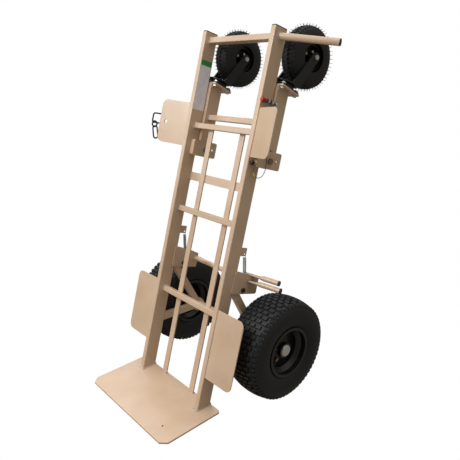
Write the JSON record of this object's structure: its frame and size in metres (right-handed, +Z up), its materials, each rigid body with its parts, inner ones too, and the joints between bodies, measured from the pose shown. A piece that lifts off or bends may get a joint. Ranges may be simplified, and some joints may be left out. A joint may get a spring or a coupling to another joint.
{
  "type": "four-wheel hand truck",
  "caption": "Leaning steel hand truck with a toe plate, pneumatic wheels, side wings, a foot lever and a fold-down rear frame on swivelling wheels.",
  "frame": {"origin": "on the floor under the middle of the rails' front faces, on the underside of the toe plate", "axes": "+X to the right seen from the front, +Y to the back where the wheels are, +Z up"},
  "size_m": [0.8779, 1.0294, 1.5309],
  "materials": {
    "tan_powder_coat": "satin tan powder coat on welded steel",
    "black_paint": "satin black paint on pressed steel",
    "tyre_rubber": "matt black rubber",
    "zinc_steel": "bright zinc plated steel",
    "spring_steel": "dark oiled spring wire",
    "black_plastic": "moulded black polyethylene",
    "red_plastic": "glossy red dipped knob on a bright pin",
    "coated_cable": "thin plastic coated wire cable"
  },
  "bodies": {
    "frame": {"toe_plate": "tan_powder_coat", "top_crossbar": "tan_powder_coat", "rung_upper": "tan_powder_coat", "rung_middle": "tan_powder_coat", "rung_lower": "tan_powder_coat", "back_bars": "tan_powder_coat", "mid_crossbar": "tan_powder_coat", "upper_wing_right": "tan_powder_coat", "upper_wing_left": "tan_powder_coat", "side_handle": "tan_powder_coat", "axle_arms": "tan_powder_coat", "axle_struts": "tan_powder_coat", "axle_tube": "tan_powder_coat", "arm_bracket_right": "tan_powder_coat", "arm_bracket_left": "tan_powder_coat", "lever_lugs": "tan_powder_coat", "spring_tabs": "tan_powder_coat", "rail_right": "tan_powder_coat", "rail_left": "tan_powder_coat", "lower_wing_right": "tan_powder_coat", "lower_wing_left": "tan_powder_coat", "stow_latch_housing": "tan_powder_coat", "strap_loop": "black_paint", "axle_shaft": "zinc_steel", "axle_caps": "zinc_steel", "arm_pivot_bolts": "zinc_steel", "lever_pivot_bolts": "zinc_steel", "deploy_latch_housing": "zinc_steel", "return_spring_right": "spring_steel", "return_spring_left": "spring_steel", "tube_plugs": "black_plastic", "lanyard": "coated_cable"},
    "wheel_right": {"tyre_right": "tyre_rubber", "rim_right": "black_paint", "wheel_bearings_right": "zinc_steel"},
    "wheel_left": {"tyre_left": "tyre_rubber", "rim_left": "black_paint", "wheel_bearings_left": "zinc_steel"},
    "caster_frame": {"arm_right": "tan_powder_coat", "arm_left": "tan_powder_coat", "arm_crossbar": "tan_powder_coat", "caster_mounts": "tan_powder_coat", "caster_plates": "black_paint", "caster_bolts": "zinc_steel"},
    "caster_swivel_right": {"caster_fork_right": "black_paint", "caster_axle_right": "zinc_steel"},
    "caster_swivel_left": {"caster_fork_left": "black_paint", "caster_axle_left": "zinc_steel"},
    "caster_wheel_right": {"caster_tyre_right": "tyre_rubber", "caster_rim_right": "black_paint"},
    "caster_wheel_left": {"caster_tyre_left": "tyre_rubber", "caster_rim_left": "black_paint"},
    "foot_lever": {"lever_plates": "tan_powder_coat", "lever_cross_tube": "tan_powder_coat", "toe_bars": "tan_powder_coat", "toe_bar_plugs": "black_plastic", "spring_pins": "zinc_steel"},
    "stow_latch": {"stow_plunger": "red_plastic"},
    "deploy_latch": {"deploy_plunger": "black_plastic"},
    "strap_hook": {"snap_hook": "black_paint"}
  },
  "joints": [
    {"name": "wheel_right_spin", "type": "hinge", "parent": "frame", "child": "wheel_right", "pos_m": [0.3385, 0.357, 0.224], "axis": [1, 0, 0], "continuous": true},
    {"name": "wheel_left_spin", "type": "hinge", "parent": "frame", "child": "wheel_left", "pos_m": [-0.3385, 0.357, 0.224], "axis": [1, 0, 0], "continuous": true},
    {"name": "caster_frame_fold", "type": "hinge", "parent": "frame", "child": "caster_frame", "pos_m": [0, 0.42644, 1.00872], "axis": [-1, 0, 0], "range_deg": [0, 95]},
    {"name": "caster_right_swivel", "type": "hinge", "parent": "caster_frame", "child": "caster_swivel_right", "pos_m": [0.2095, 0.53429, 1.27757], "axis": [0, 0.4802, 0.8771], "range_deg": [-60, 60]},
    {"name": "caster_right_spin", "type": "hinge", "parent": "caster_swivel_right", "child": "caster_wheel_right", "pos_m": [0.2095, 0.68188, 1.4014], "axis": [1, 0, 0], "continuous": true},
    {"name": "caster_left_swivel", "type": "hinge", "parent": "caster_frame", "child": "caster_swivel_left", "pos_m": [-0.2095, 0.53429, 1.27757], "axis": [0, 0.4802, 0.8771], "range_deg": [-60, 60]},
    {"name": "caster_left_spin", "type": "hinge", "parent": "caster_swivel_left", "child": "caster_wheel_left", "pos_m": [-0.2095, 0.68188, 1.4014], "axis": [1, 0, 0], "continuous": true},
    {"name": "foot_lever_press", "type": "hinge", "parent": "frame", "child": "foot_lever", "pos_m": [0, 0.2697, 0.48141], "axis": [-1, 0, 0], "range_deg": [0, 20], "stiffness_Nm_per_rad": 12, "springref_deg": -11.46, "deforming": ["return_spring_right", "return_spring_left"]},
    {"name": "stow_latch_pull", "type": "slide", "parent": "frame", "child": "stow_latch", "axis": [0, -0.9527, 0.304], "range_m": [0, 0.01], "stiffness_N_per_m": 400, "springref_m": -0.01},
    {"name": "deploy_latch_pull", "type": "slide", "parent": "frame", "child": "deploy_latch", "axis": [0, -0.9527, 0.304], "range_m": [0, 0.01], "stiffness_N_per_m": 400, "springref_m": -0.01},
    {"name": "strap_hook_swing", "type": "hinge", "parent": "frame", "child": "strap_hook", "pos_m": [-0.3919, 0.3098, 1.132], "axis": [1, 0, 0], "range_deg": [-45, 45]}
  ]
}
